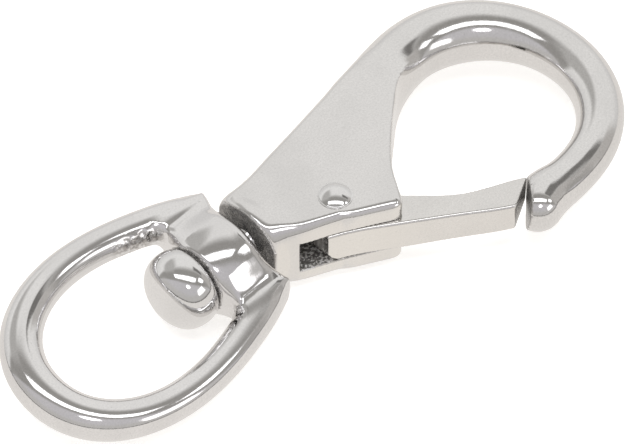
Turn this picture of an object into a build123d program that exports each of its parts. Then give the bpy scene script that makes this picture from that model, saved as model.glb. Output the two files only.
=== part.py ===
from build123d import *
import os
from math import acos, atan2, copysign, cos, degrees, hypot, pi, radians, sin

# Swivel round-eye snap hook with a spring gate, cast and polished metal.
# Frame: origin at the centre of the swivel eye's opening, on the swivel axis, at mid
# thickness.  +X runs along the swivel axis to the hook's bowl, the gate is on the -Y
# side, +Z is the thickness (the hook's flat side faces up).  Millimetres.

# ---- shared dimensions ----
SHANK_R = 2.25            # swivel rivet shank
RUN_CLEAR = 0.06          # radial clearance of shank in collar, and of gate on its rivet
BODY_X0 = 21.0            # end face of the hook body
END_WALL_X1 = 24.4        # inner face of the end wall that the swivel rivet passes through
BODY_HALF_T = 5.7         # half thickness of the hook body over the gate rivet
SLOT_HALF = 2.6           # half width of the gate slot
PIVOT = (31.8, -6.2)      # gate rivet axis, parallel to Z
RIVET_R = 1.35            # gate rivet shank
SPRING_WIRE_R = 0.3
SPRING_COIL_R = 1.85      # mean radius of the coil
Y_REACH = 30              # side profiles are extruded this far to each side, past the part


# ---- helpers ----
def largest(shape):
    return sorted(shape.solids(), key=lambda solid: solid.volume)[-1]


def spline(points):
    return Edge.make_spline([Vector(x, y, 0) for x, y in points])


def line(start, end):
    return Edge.make_line(Vector(*start, 0), Vector(*end, 0))


def polar(centre, radius, angle):
    return centre[0] + radius * cos(radians(angle)), centre[1] + radius * sin(radians(angle))


def beside_line(origin, direction, along, right):
    """Plan point a distance along a line from origin and a distance to its right."""
    dir_x, dir_y = direction
    return (
        origin[0] + dir_x * along + dir_y * right,
        origin[1] + dir_y * along - dir_x * right,
    )


def tangents(stations):
    """Unit plan direction at each station, from its neighbours."""
    directions = []
    for i in range(len(stations)):
        before = stations[max(i - 1, 0)]
        after = stations[min(i + 1, len(stations) - 1)]
        dx, dy = after[0] - before[0], after[1] - before[1]
        directions.append((dx / hypot(dx, dy), dy / hypot(dx, dy)))
    return directions


def superellipse_wire(x, y, angle, half_width, half_height, exponent, count=32):
    """Closed spline round (x, y), in the upright plane whose normal lies at angle in XY."""
    side_x, side_y = -sin(radians(angle)), cos(radians(angle))
    points = []
    for i in range(count):
        turn = 2 * pi * i / count
        across, up = (
            copysign(abs(part) ** (2.0 / exponent), part) for part in (cos(turn), sin(turn))
        )
        reach = half_width * across
        points.append(Vector(x + reach * side_x, y + reach * side_y, half_height * up))
    return Wire([Edge.make_spline(points, periodic=True)])


def circle_wire(centre, direction, radius):
    """Upright circle whose normal is a plan direction; its seam is kept at +Z."""
    plane = Plane(origin=(*centre, 0), x_dir=(0, 0, 1), z_dir=(*direction, 0))
    return Wire([Edge.make_circle(radius, plane=plane)])


def plan_solid(edges, z0, z1):
    face = Face(Wire(edges))
    if face.normal_at().Z < 0:
        face = -face
    return extrude(face.moved(Location((0, 0, z0))), z1 - z0, dir=(0, 0, 1))


def plan_polygon(points, half_height):
    outline = Wire.make_polygon([Vector(x, y, 0) for x, y in points], close=True)
    return plan_solid(outline.edges(), -half_height, half_height)


def x_bar(radius, x0, x1):
    return Solid.make_cylinder(radius, x1 - x0, Plane(origin=(x0, 0, 0), z_dir=(1, 0, 0)))


def pivot_bar(radius, half_length):
    return Solid.make_cylinder(radius, 2 * half_length, Plane(origin=(*PIVOT, -half_length)))


def revolve_x(points):
    """Closed (x, r) outline turned about the swivel axis."""
    outline = Wire.make_polygon([Vector(x, r, 0) for x, r in points], close=True)
    return revolve(Face(outline), Axis.X, 360)


def edges_along(shape, path, min_z, reach=0.9):
    """Edges beyond |z| = min_z whose midpoint lies near a plan path, uprights left out."""
    steps, max_rise = 40, 2.5
    samples = [
        (a[0] + (b[0] - a[0]) * i / steps, a[1] + (b[1] - a[1]) * i / steps)
        for a, b in zip(path, path[1:])
        for i in range(steps)
    ] + [path[-1]]
    found = []
    for edge in shape.edges():
        middle = edge.position_at(0.5)
        rise = abs(edge.position_at(0.0).Z - edge.position_at(1.0).Z)
        if abs(middle.Z) < min_z or rise > max_rise:
            continue
        if min(hypot(middle.X - x, middle.Y - y) for x, y in samples) < reach:
            found.append(edge)
    return found


# ---- hook body ----
# plan outline (x, y) of the flat body: the +Y edge, from the end face to the bowl
BODY_CORNER = (BODY_X0, 4.75)
BODY_BACK = [(25.0, 4.82), (30.6, 5.80), (35.6, 6.78), (40.7, 7.88), (46.0, 9.22)]
# the -Y edge, from the end face, round the corner and up the hook's opening
BODY_FRONT = [
    (BODY_X0, -5.6), (22.6, -6.2), (24.6, -7.35), (27.5, -8.55), (31.5, -10.45), (35.6, -12.6),
    (36.7, -13.1), (37.75, -12.85),
    (38.55, -11.7), (39.85, -9.5), (41.45, -7.3), (43.4, -5.25), (45.45, -3.35), (48.3, -0.85),
    (50.2, 0.75),
]
BACK_FILLET, FRONT_FILLET = 1.5, 1.2

# side profile (x, half thickness): thins towards the bowl from a flat starting at SIDE_X0
SIDE_X0 = 20
SIDE_PROFILE = [(38.0, BODY_HALF_T), (42.0, 5.52), (46.0, 5.14), (50.0, 4.86), (54.0, 4.62)]
SIDE_END_SLOPE = 0.05

# round neck flange at the end face: outline (x, r), and the plan polygon it is kept within
NECK_R = 6.3
NECK = [
    (BODY_X0, 0), (BODY_X0, NECK_R), (22.0, NECK_R), (22.8, 6.1), (23.6, 5.55), (24.3, 4.7),
    (24.3, 0),
]
NECK_LIMIT = [(20.5, 5.0), (25.0, 5.0), (25.0, -7.5), (24.6, -7.33), (21.0, -5.64), (20.5, -5.4)]
# turned outline (x, r) that rounds the body towards the eye
END_TRIM = [
    (BODY_X0, 0), (BODY_X0, 6.1), (21.2, 6.45), (21.6, 6.8), (22.25, 7.2), (23.0, 7.65),
    (24.0, 8.2), (26.0, 9.0), (30.0, 10.5), (36.0, 16.0), (64.0, 30.0), (64.0, 0),
]

# flat body to round bowl: x, y, direction (deg), half width, half thickness, exponent
BLEND = [
    (47.40, 4.60, 26.0, 4.78, 4.86, 5.2),
    (48.60, 5.20, 26.0, 4.74, 4.82, 4.6),
    (51.75, 6.75, 24.0, 4.34, 4.70, 3.2),
    (55.40, 8.15, 16.0, 4.26, 4.52, 2.5),
    (59.30, 9.00, 8.0, 4.34, 4.42, 2.1),
]
# centre line of the round bowl: x, y, radius
BOWL = [
    (62.53, 9.24, 4.37), (66.37, 8.58, 4.41), (69.84, 6.94, 4.37), (72.74, 4.46, 4.23),
    (74.91, 1.31, 4.05), (76.24, -2.30, 3.87), (76.67, -6.16, 3.74), (76.18, -10.02, 3.62),
    (74.80, -13.62, 3.50), (72.60, -16.77, 3.38), (69.69, -19.31, 3.25), (66.24, -21.11, 3.16),
    (62.45, -22.12, 3.14), (58.57, -22.47, 3.25), (54.89, -22.49, 3.59),
]

NOSE_CENTRE, NOSE_R = (53.35, -23.0), 3.5   # rounded outer end of the nose
NOSE_FACE_POINT = (54.95, -19.45)           # point on the flat nose face
NOSE_FACE_DIR = (-0.690, -0.724)            # direction of that face in plan

# plan outline (x, y) of the gate slot
SLOT = [
    (END_WALL_X1, -9.5), (END_WALL_X1, 3.9), (28.0, 3.9), (30.0, 0.5), (33.0, -1.6),
    (35.0, -2.3), (38.0, -3.1), (41.2, -3.75), (46.0, -4.2), (52.0, -6.0), (52.0, -24.0),
    (34.0, -24.0),
]


def make_side_envelope():
    (bend_x, bend_z), (end_x, end_z) = SIDE_PROFILE[0], SIDE_PROFILE[-1]
    top, bottom = (
        Edge.make_spline(
            [Vector(x, 0, side * z) for x, z in SIDE_PROFILE],
            tangents=[(1, 0, 0), (1, 0, -side * SIDE_END_SLOPE)],
        )
        for side in (1, -1)
    )
    face = Face(Wire([
        Edge.make_line((SIDE_X0, 0, bend_z), (bend_x, 0, bend_z)),
        top,
        Edge.make_line((end_x, 0, end_z), (end_x, 0, -end_z)),
        bottom,
        Edge.make_line((bend_x, 0, -bend_z), (SIDE_X0, 0, -bend_z)),
        Edge.make_line((SIDE_X0, 0, -bend_z), (SIDE_X0, 0, bend_z)),
    ]))
    return extrude(face, Y_REACH, dir=(0, 1, 0)) + extrude(face, Y_REACH, dir=(0, -1, 0))


def make_flat_body():
    outline = [
        line(BODY_CORNER, BODY_BACK[0]),
        spline(BODY_BACK),
        line(BODY_BACK[-1], BODY_FRONT[-1]),
        spline(BODY_FRONT),
        line(BODY_FRONT[0], BODY_CORNER),
    ]
    body = largest(plan_solid(outline, -BODY_HALF_T, BODY_HALF_T))
    for path, radius in (([BODY_CORNER] + BODY_BACK, BACK_FILLET), (BODY_FRONT, FRONT_FILLET)):
        body = largest(fillet(edges_along(body, path, min_z=4.0), radius))
    body = largest(body & make_side_envelope())
    neck = revolve_x(NECK) & plan_polygon(NECK_LIMIT, 7)
    body = largest(body.fuse(largest(neck)))
    return largest(body & revolve_x(END_TRIM))


def make_bowl():
    """Superellipse blend sections running into circles, lofted as one solid."""
    sections = [superellipse_wire(*station) for station in BLEND]
    for (x, y, radius), (dir_x, dir_y) in zip(BOWL, tangents(BOWL)):
        angle = degrees(atan2(dir_y, dir_x))
        sections.append(superellipse_wire(x, y, angle, radius, radius, 2.0))
    return Solid.make_loft(sections)


def make_hook_body():
    body = make_flat_body()
    nose_ball = Solid.make_sphere(NOSE_R, Plane(origin=(*NOSE_CENTRE, 0)))
    nose_core = Solid.make_loft([
        circle_wire((55.3, -22.5), (-1, -0.12), NOSE_R),
        circle_wire(NOSE_CENTRE, (-1, -0.3), NOSE_R - 0.01),
    ])
    hook = largest(body.fuse(make_bowl(), nose_ball, nose_core))
    # everything on the gate side of the flat nose face goes
    nose_cut = [
        beside_line(NOSE_FACE_POINT, NOSE_FACE_DIR, along, right)
        for along, right in ((-6, 0), (12, 0), (12, 9), (-6, 9))
    ]
    hook = largest(hook - plan_polygon(nose_cut, 6))
    # the slot is open to the gate side and to the hook's opening
    hook = largest(hook - plan_polygon(SLOT, SLOT_HALF))
    hook = largest(hook - x_bar(SHANK_R, BODY_X0 - 1, END_WALL_X1 + 0.5))
    return largest(hook - pivot_bar(RIVET_R, 7))


# ---- gate rivet: shank through both cheeks with a low dome at each end ----
DOME_R = 2.37
DOME_H = 0.95


def make_rivet_dome(side):
    """Low spherical dome on the body's +Z (side 1) or -Z (side -1) face."""
    ball_r = (DOME_R**2 + DOME_H**2) / (2 * DOME_H)
    base_z = side * BODY_HALF_T
    ball = Solid.make_sphere(ball_r, Plane(origin=(*PIVOT, base_z + (DOME_H - ball_r) * side)))
    slab_h = DOME_H + 0.5
    corner = (
        PIVOT[0] - 2 * ball_r, PIVOT[1] - 2 * ball_r, base_z if side > 0 else base_z - slab_h
    )
    return largest(ball & Solid.make_box(4 * ball_r, 4 * ball_r, slab_h, Plane(origin=corner)))


def make_gate_rivet():
    shank = pivot_bar(RIVET_R, BODY_HALF_T)
    return largest(shank.fuse(make_rivet_dome(1), make_rivet_dome(-1)))


# ---- gate ----
GATE_HALF = 2.5           # half thickness at the heel
GATE_TIP_HALF = 2.25      # half thickness at the tip
HEEL_R = 3.95             # round of the heel about the rivet
HEEL_START = (27.85, -6.0)
GATE_FILLET = 0.45
# plan outlines (x, y), both from tip to heel
GATE_OUTER = [
    (49.65, -22.36), (48.94, -21.98), (44.88, -19.32), (40.72, -16.52), (36.22, -13.62),
    (32.16, -11.0), (29.6, -9.62), (28.0, -8.9),
]
GATE_INNER = [
    (54.55, -19.75), (52.7, -18.60), (50.15, -17.57), (47.67, -16.48), (45.44, -15.1),
    (43.58, -13.5), (41.95, -11.85), (40.3, -10.3), (38.0, -8.05), (36.2, -5.7),
]
# side profile: x, half thickness
GATE_TAPER = [(24.0, GATE_HALF), (38.0, GATE_HALF), (56.0, GATE_TIP_HALF)]

GATE_ANGLE = -33.6        # plan direction of the gate's outer face, heel to tip, degrees
GATE_FACE_DIST = 3.76     # outer face from the rivet axis
FLOOR = 1.50              # thickness of the floor under the spring pocket
POCKET_HALF = 1.15        # half width of the spring pocket
POCKET_CLEAR = 0.12       # radial gap round the coil


def on_gate(along, out):
    """Plan point from the rivet axis, along the gate and out towards its outer face."""
    return beside_line(PIVOT, polar((0, 0), 1, GATE_ANGLE), along, out)


def make_gate_blank():
    heel = [HEEL_START, polar(PIVOT, HEEL_R, 135), polar(PIVOT, HEEL_R, 90), GATE_INNER[-1]]
    outline = [
        spline(GATE_OUTER),
        line(GATE_OUTER[-1], HEEL_START),
        spline(heel),
        spline(GATE_INNER[::-1]),
        line(GATE_INNER[0], GATE_OUTER[0]),
    ]
    blank = plan_solid(outline, -GATE_HALF, GATE_HALF)
    profile = [Vector(x, 0, z) for x, z in GATE_TAPER]
    profile += [Vector(x, 0, -z) for x, z in reversed(GATE_TAPER)]
    face = Face(Wire.make_polygon(profile, close=True))
    taper = extrude(face, Y_REACH, dir=(0, -1, 0)) + extrude(face, Y_REACH, dir=(0, 1, 0))
    return largest(blank & taper)


def make_heel_corner_cut():
    """Waste that rounds the heel's corner on the eye end, -Z side."""
    cut = Solid.make_box(2.6, 16, 2.6, Plane(origin=(27.0, -16, -2.6)))
    cut = cut - Solid.make_cylinder(2.2, 18, Plane(origin=(30.05, -17, -0.3), z_dir=(0, 1, 0)))
    return cut & Solid.make_box(3.05, 20, 2.6, Plane(origin=(27.0, -18, -2.9)))


def make_spring_pocket():
    """Round the rivet and open towards the back of the slot, leaving a fork with a floor."""
    floor = GATE_FACE_DIST - FLOOR
    opening = [
        on_gate(0.0, floor), on_gate(7.6, floor), on_gate(7.6, -6.0),
        (34.0, 1.0), (26.0, 1.0), (26.0, -5.6), on_gate(-1.9, 0.6),
    ]
    bore = pivot_bar(SPRING_COIL_R + SPRING_WIRE_R + POCKET_CLEAR, POCKET_HALF)
    return bore.fuse(plan_polygon(opening, POCKET_HALF))


def make_gate():
    gate = make_gate_blank()
    outer_edges = edges_along(gate, GATE_OUTER[:-1], min_z=1.5, reach=0.5)
    outer_edges = [edge for edge in outer_edges if edge.length > 1.0]
    # the kernel may refuse this fillet; the outer edges then stay sharp
    try:
        gate = largest(fillet(outer_edges, GATE_FILLET))
    except Exception:
        pass
    gate = largest(gate - make_heel_corner_cut())
    gate = largest(gate - pivot_bar(RIVET_R + RUN_CLEAR, 4))
    return largest(gate - make_spring_pocket())


# ---- gate spring: torsion coil on the rivet, with two legs ----
RING_COUNT = 4
RING_STEP = 0.53
COIL_HALF = (RING_COUNT - 1) / 2 * RING_STEP   # height of the last ring's centre line
SLOT_LEG_TIP = (39.2, -3.80)                   # end of the leg under the back of the slot
GATE_LEG_LENGTH = 6.6                          # leg along the gate's floor
LEG_R = SPRING_WIRE_R * 0.985                  # just under the wire, so the fuse is clean


def make_gate_spring():
    """Close-wound coil as stacked rings; the legs leave the first and the last ring."""
    rings = [
        Solid.make_torus(
            SPRING_COIL_R, SPRING_WIRE_R, Plane(origin=(*PIVOT, i * RING_STEP - COIL_HALF))
        )
        for i in range(RING_COUNT)
    ]
    spring = rings[0].fuse(*rings[1:])
    # the slot leg leaves the coil at a tangent
    dx, dy = SLOT_LEG_TIP[0] - PIVOT[0], SLOT_LEG_TIP[1] - PIVOT[1]
    leave_angle = degrees(atan2(dy, dx)) + degrees(acos(SPRING_COIL_R / hypot(dx, dy)))
    legs = (
        (SLOT_LEG_TIP, polar(PIVOT, SPRING_COIL_R, leave_angle), -COIL_HALF),
        (on_gate(GATE_LEG_LENGTH, SPRING_COIL_R), on_gate(0, SPRING_COIL_R), COIL_HALF),
    )
    for tip, root, z in legs:
        start = Vector(*tip, z)
        run = Vector(*root, z) - start
        leg = Solid.make_cylinder(LEG_R, run.length, Plane(origin=start, z_dir=run))
        spring = spring.fuse(leg)
    return largest(spring)


# ---- swivel rivet: dome head in the eye, shank through collar and end wall, upset tail ----
HEAD_X0, HEAD_X1 = 5.45, 11.75   # tip and underside of the dome head
# outlines (x, r)
HEAD = [
    (HEAD_X1, 4.6), (11.52, 5.0), (11.1, 5.3), (10.4, 5.5), (9.6, 5.55), (8.8, 5.50),
    (8.0, 5.26), (7.2, 4.81), (6.5, 4.15), (6.02, 3.36), (5.70, 2.42), (5.52, 1.3),
    (HEAD_X0, 0.0),
]
TAIL = [
    (END_WALL_X1, 0), (END_WALL_X1, 3.15), (25.0, 3.2), (25.6, 2.9), (26.0, 2.2),
    (26.15, 1.2), (26.2, 0),
]
TAIL_HALF = SLOT_HALF - 0.05     # the tail is flattened to clear the slot's walls


def make_swivel_rivet():
    head_curve = Edge.make_spline(
        [Vector(x, r, 0) for x, r in HEAD], tangents=[(0, 1, 0), (0, -1, 0)]
    )
    head_face = Face(Wire([
        line((HEAD_X0, 0), (HEAD_X1, 0)), line((HEAD_X1, 0), HEAD[0]), head_curve,
    ]))
    head = revolve(head_face, Axis.X, 360)
    tail_slab = Solid.make_box(4, 8, 2 * TAIL_HALF, Plane(origin=(24, -4, -TAIL_HALF)))
    tail = revolve_x(TAIL) & tail_slab
    shank = x_bar(SHANK_R, HEAD_X1 - 0.5, END_WALL_X1 + 0.3)
    return largest(largest(head).fuse(shank, largest(tail)))


# ---- swivel eye: round ring, shoulders and collar in one casting ----
EYE_TILT = 14.5                    # turn of the eye about the swivel axis at rest, degrees
COLLAR_X0, COLLAR_X1 = 12.0, 19.3  # collar, end to end
COLLAR_R = 6.2
# centre line of the ring's +Y half, from the far end to the collar: x, y, radius
EYE_PATH = [
    (-15.24, 0.00, 2.96), (-14.63, 3.65, 2.93), (-12.83, 6.81, 2.84), (-10.09, 9.22, 2.71),
    (-6.73, 10.85, 2.57), (-3.08, 11.74, 2.47), (0.66, 11.99, 2.43), (4.36, 11.73, 2.42),
    (7.98, 11.07, 2.46), (11.51, 10.13, 2.52), (15.03, 9.02, 2.56), (18.45, 7.80, 2.40),
]
# rounding of the collar's two ends: distance in from the end, drop below COLLAR_R
COLLAR_EYE_END = [
    (0, 1.5), (0.15, 1.2), (0.5, 0.92), (1.5, 0.55), (2.7, 0.22), (3.9, 0.05), (4.8, 0),
]
COLLAR_HOOK_END = [(1.4, 0), (0.85, 0.12), (0.4, 0.45), (0.1, 0.9), (0, 1.4)]
WEB_X0 = 12.6
WEB_SIZE = (6.3, 15.4, 4.4)        # block joining the collar to the ring's ends


def make_swivel_eye():
    path = EYE_PATH[::-1] + [(x, -y, radius) for x, y, radius in EYE_PATH[1:]]
    ring = Solid.make_loft([
        circle_wire((x, y), direction, radius)
        for (x, y, radius), direction in zip(path, tangents(path))
    ])
    end_x, end_y, end_r = EYE_PATH[-1]
    end_balls = [
        Solid.make_sphere(end_r, Plane(origin=(end_x, y, 0))) for y in (end_y, -end_y)
    ]
    collar = revolve_x(
        [(COLLAR_X0, 0)]
        + [(COLLAR_X0 + inset, COLLAR_R - drop) for inset, drop in COLLAR_EYE_END]
        + [(COLLAR_X1 - inset, COLLAR_R - drop) for inset, drop in COLLAR_HOOK_END]
        + [(COLLAR_X1, 0)]
    )
    web_corner = (WEB_X0, -WEB_SIZE[1] / 2, -WEB_SIZE[2] / 2)
    web = Solid.make_box(*WEB_SIZE, Plane(origin=web_corner))
    eye = largest(ring.fuse(*end_balls, largest(collar), web))
    eye = largest(eye - x_bar(SHANK_R + RUN_CLEAR, COLLAR_X0 - 3, COLLAR_X1 + 3))
    return eye.rotate(Axis.X, EYE_TILT)


# ---- write the pieces ----
PIECES = {
    "hook_body": make_hook_body,
    "gate": make_gate,
    "gate_rivet": make_gate_rivet,
    "gate_spring": make_gate_spring,
    "swivel_eye": make_swivel_eye,
    "swivel_rivet": make_swivel_rivet,
}

os.makedirs("parts", exist_ok=True)
for name, make_piece in PIECES.items():
    piece = make_piece()
    piece.label = name
    export_step(piece, "parts/" + name + ".step")
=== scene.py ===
"""Snap hook with a swivel eye, in polished cast metal.

The swivel axis is x: the eye lies at -x, the hook at +x with its mouth towards -y. The gate
turns about a rivet along z. The hook is symmetric in z; the eye is tilted about the x axis.
Shapes are in mm and become metres when a mesh is made. Most pieces are implicit surfaces:
functions named *_sd return a distance that is negative inside the metal.
"""
import bpy
import math
import numpy as np
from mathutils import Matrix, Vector


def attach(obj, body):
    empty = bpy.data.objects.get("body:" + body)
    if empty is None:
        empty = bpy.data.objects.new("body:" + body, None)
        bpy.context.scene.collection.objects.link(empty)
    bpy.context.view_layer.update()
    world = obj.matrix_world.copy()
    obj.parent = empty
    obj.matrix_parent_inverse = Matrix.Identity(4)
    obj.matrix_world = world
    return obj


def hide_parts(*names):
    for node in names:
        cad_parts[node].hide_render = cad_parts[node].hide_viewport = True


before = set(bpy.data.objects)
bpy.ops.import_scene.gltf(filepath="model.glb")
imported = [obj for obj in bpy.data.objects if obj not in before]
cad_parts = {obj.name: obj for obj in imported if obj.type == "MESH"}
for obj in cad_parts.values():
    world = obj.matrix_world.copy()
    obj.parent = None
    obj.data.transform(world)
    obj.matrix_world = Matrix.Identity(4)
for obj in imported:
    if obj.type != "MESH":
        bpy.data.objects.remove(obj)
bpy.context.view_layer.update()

MM = 0.001
COARSEN = 1.0    # multiplies every surface grid step

# ---- Shared dimensions (mm) ----
PIVOT = np.array([31.8, -6.2])          # gate rivet axis
CHEEK_HALF = 5.7                        # half thickness of the hook at the gate rivet
GATE_ANGLE = -33.6                      # degrees from +x
GATE_ALONG = np.array([math.cos(math.radians(GATE_ANGLE)), math.sin(math.radians(GATE_ANGLE))])
GATE_OUT = np.array([GATE_ALONG[1], -GATE_ALONG[0]])    # across the gate, towards -y
PIN_R = 2.25                            # swivel rivet shank, and its bore in the hook
RIVET_HOLE_R = 1.35                     # gate rivet hole through the hook
HOOK_FACE = 21.0                        # x of the hook's end face towards the eye


# ============================================================================
# Curves and distance helpers
# ============================================================================
class Curve:
    """Natural cubic spline in x, y over chord length; a third column (radius) rides along."""

    def __init__(self, points, step=0.35):
        self.points = np.asarray(points, float)
        chords = self.points[1:, :2] - self.points[:-1, :2]
        self.stations = np.r_[0, np.cumsum(np.sqrt((chords ** 2).sum(1)))]
        count = len(self.points)
        gap = np.diff(self.stations)
        system = np.eye(count)
        right = np.zeros_like(self.points)
        slope = np.diff(self.points, axis=0) / gap[:, None]
        for i in range(1, count - 1):
            system[i, i - 1:i + 2] = gap[i - 1], 2 * (gap[i - 1] + gap[i]), gap[i]
            right[i] = 6 * (slope[i] - slope[i - 1])
        self.bends = np.linalg.solve(system, right)
        self.length = self.stations[-1]
        self.params = np.linspace(0, self.length, int(self.length / step) + 2)
        self.samples = self.at(self.params)[0]

    def at(self, param):
        """Value, slope and second derivative; straight beyond the ends."""
        knots, points, bends = self.stations, self.points, self.bends
        held = np.clip(param, knots[0], knots[-1])
        i = np.clip(np.searchsorted(knots, held, side="right") - 1, 0, len(knots) - 2)
        gap = (knots[i + 1] - knots[i])[:, None]
        wa = (knots[i + 1] - held)[:, None] / gap
        wb = 1 - wa
        cubic = (wa ** 3 - wa) * bends[i] + (wb ** 3 - wb) * bends[i + 1]
        value = wa * points[i] + wb * points[i + 1] + cubic * gap ** 2 / 6
        turn = -(3 * wa ** 2 - 1) * bends[i] + (3 * wb ** 2 - 1) * bends[i + 1]
        slope = (points[i + 1] - points[i]) / gap + turn * gap / 6
        over = (param - held)[:, None]
        bend = np.where(over != 0, 0, wa * bends[i] + wb * bends[i + 1])
        return value + slope * over, slope, bend

    def closest(self, x, y, chunk=60000):
        """Parameter, point and slope nearest to each x, y: best sample, then Newton steps."""
        start = np.empty(len(x))
        sx, sy = self.samples[:, :2].T.astype(np.float32)
        for k in range(0, len(x), chunk):
            dx = x[k:k + chunk, None].astype(np.float32) - sx
            dy = y[k:k + chunk, None].astype(np.float32) - sy
            start[k:k + chunk] = self.params[np.argmin(dx * dx + dy * dy, axis=1)]
        step = self.params[1] - self.params[0]
        # a point nearest to an end sample may slide onto the straight extension
        low = np.where(start <= 1e-9, -50.0, start - 1.5 * step)
        high = np.where(start >= self.length - 1e-9, self.length + 50.0, start + 1.5 * step)
        param = start
        for _ in range(3):
            point, slope, bend = self.at(param)
            ex, ey = x - point[:, 0], y - point[:, 1]
            error = ex * slope[:, 0] + ey * slope[:, 1]
            rate = slope[:, 0] ** 2 + slope[:, 1] ** 2 - ex * bend[:, 0] - ey * bend[:, 1]
            rate = np.where(rate > 0.15, rate, 0.15)
            param = np.clip(param + np.clip(error / rate, -step, step), low, high)
        point, slope, _ = self.at(param)
        return param, point, slope

    def side(self, x, y):
        """Signed distance, positive on the left of the curve's direction, and parameter."""
        param, point, slope = self.closest(x, y)
        ex, ey = x - point[:, 0], y - point[:, 1]
        cross = slope[:, 0] * ey - slope[:, 1] * ex
        return np.sign(cross) * np.hypot(ex, ey), param

    def bar_sd(self, x, y, z):
        """Distance to a round bar along the curve, its radius in the third column."""
        centre = self.at(np.clip(self.closest(x, y)[0], 0, self.length))[0]
        flat = (x - centre[:, 0]) ** 2 + (y - centre[:, 1]) ** 2
        return np.sqrt(flat + z ** 2) - centre[:, 2]


def smin(first, second, blend):
    share = np.clip(0.5 + 0.5 * (second - first) / blend, 0, 1)
    return second + (first - second) * share - blend * share * (1 - share)


def smax(first, second, blend):
    return -smin(-first, -second, blend)


def sstep(value, start, end):
    """Smooth step from 0 at start to 1 at end; end may be the smaller one."""
    part = np.clip((value - start) / (end - start), 0, 1)
    return part * part * (3 - 2 * part)


def round_and(first, second, radius):
    """Intersection of two half spaces with a rounded edge."""
    first, second = first + radius, second + radius
    corner = np.sqrt(np.maximum(first, 0) ** 2 + np.maximum(second, 0) ** 2)
    return corner + np.minimum(np.maximum(first, second), 0) - radius


def poly_sd(x, y, corners):
    """Signed distance to a closed polygon."""
    corners = np.asarray(corners, float)
    nearest = np.full(len(x), 1e9)
    sign = np.ones(len(x))
    for i in range(len(corners)):
        edge_x, edge_y = corners[i - 1] - corners[i]
        wx, wy = x - corners[i, 0], y - corners[i, 1]
        along = (wx * edge_x + wy * edge_y) / (edge_x * edge_x + edge_y * edge_y)
        along = np.clip(along, 0, 1)
        nearest = np.minimum(nearest, (wx - edge_x * along) ** 2 + (wy - edge_y * along) ** 2)
        above = y >= corners[i, 1]
        below = y < corners[i - 1, 1]
        left = edge_x * wy > edge_y * wx
        sign = np.where((above & below & left) | (~above & ~below & ~left), -sign, sign)
    return sign * np.sqrt(nearest)


def smooth_table(rows, sigma, pitch=0.05):
    """Rows (x, value) resampled and Gaussian-smoothed, so no crease shows in a reflection."""
    rows = np.array(rows)
    x = np.arange(rows[0, 0], rows[-1, 0], pitch)
    value = np.interp(x, rows[:, 0], rows[:, 1])
    reach = int(3 * sigma / pitch)
    kernel = np.exp(-0.5 * (np.arange(-reach, reach + 1) * pitch / sigma) ** 2)
    padded = np.pad(value, reach, mode="reflect", reflect_type="odd")
    return x, np.convolve(padded, kernel / kernel.sum(), mode="valid")


LATTICE = np.random.RandomState(7).rand(32, 32, 32)
CORNERS = np.array([(i, j, k) for k in (0, 1) for j in (0, 1) for i in (0, 1)])


def lattice_noise(points, scale, seed):
    """Smooth noise in 0..1 with features of the given size."""
    place = points / scale + seed * 7.31
    cell = np.floor(place).astype(int)
    part = place - cell
    part = part * part * (3 - 2 * part)
    total = 0
    for corner in CORNERS:
        weight = np.where(corner, part, 1 - part).prod(1)
        total = total + weight * LATTICE[tuple(((cell + corner) % 32).T)]
    return total


# ============================================================================
# Surface extraction (surface nets)
# ============================================================================
BLOCK = 4       # grid cells per side of a coarse block


def in_chunks(field, points, chunk=300000):
    return np.concatenate([field(points[k:k + chunk]) for k in range(0, len(points), chunk)])


def sample_grid(field, low, high, step):
    """Field values on the grid, worked out only in the blocks near the surface."""
    blocks = np.ceil((high - low) / (BLOCK * step)).astype(int)
    axes = [low[k] + (np.arange(blocks[k]) + 0.5) * BLOCK * step for k in range(3)]
    centres = np.stack(np.meshgrid(*axes, indexing="ij"), -1).reshape(-1, 3)
    coarse = in_chunks(field, centres).reshape(blocks)
    grid = np.where(coarse < 0, -9.0, 9.0).astype(np.float32)
    for axis in range(3):
        grid = np.repeat(grid, BLOCK, axis)
    grid = np.pad(grid, ((0, 1), (0, 1), (0, 1)), mode="edge")
    near = np.argwhere(np.abs(coarse) < BLOCK * step * 1.05)
    need = np.zeros(grid.shape, bool)
    for offset in np.ndindex(BLOCK + 1, BLOCK + 1, BLOCK + 1):
        need[tuple((near * BLOCK + offset).T)] = True
    nodes = np.argwhere(need)
    grid[tuple(nodes.T)] = in_chunks(field, low + nodes * step)
    return np.where(grid == 0, 1e-6, grid)


def net_vertices(grid):
    """One vertex per mixed cell, in grid units, and the vertex number of every cell."""
    size = np.array(grid.shape)
    inside = grid < 0
    count = np.zeros(size - 1, np.int8)
    for i, j, k in CORNERS:
        count += inside[i:size[0] - 1 + i, j:size[1] - 1 + j, k:size[2] - 1 + k]
    mixed = (count > 0) & (count < 8)
    cells = np.argwhere(mixed)
    number = -np.ones(size - 1, np.int64)
    number[mixed] = np.arange(len(cells))
    total = np.zeros((len(cells), 3))
    hits = np.zeros(len(cells))
    values = [grid[tuple((cells + corner).T)] for corner in CORNERS]
    for a in range(8):
        for b in range(a + 1, 8):
            if abs(CORNERS[a] - CORNERS[b]).sum() != 1:
                continue
            crossed = (values[a] < 0) != (values[b] < 0)
            part = np.where(crossed, values[a] / np.where(crossed, values[a] - values[b], 1), 0)
            point = CORNERS[a] + part[:, None] * (CORNERS[b] - CORNERS[a])
            total += np.where(crossed[:, None], point, 0)
            hits += crossed
    return cells + total / hits[:, None], number


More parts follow.
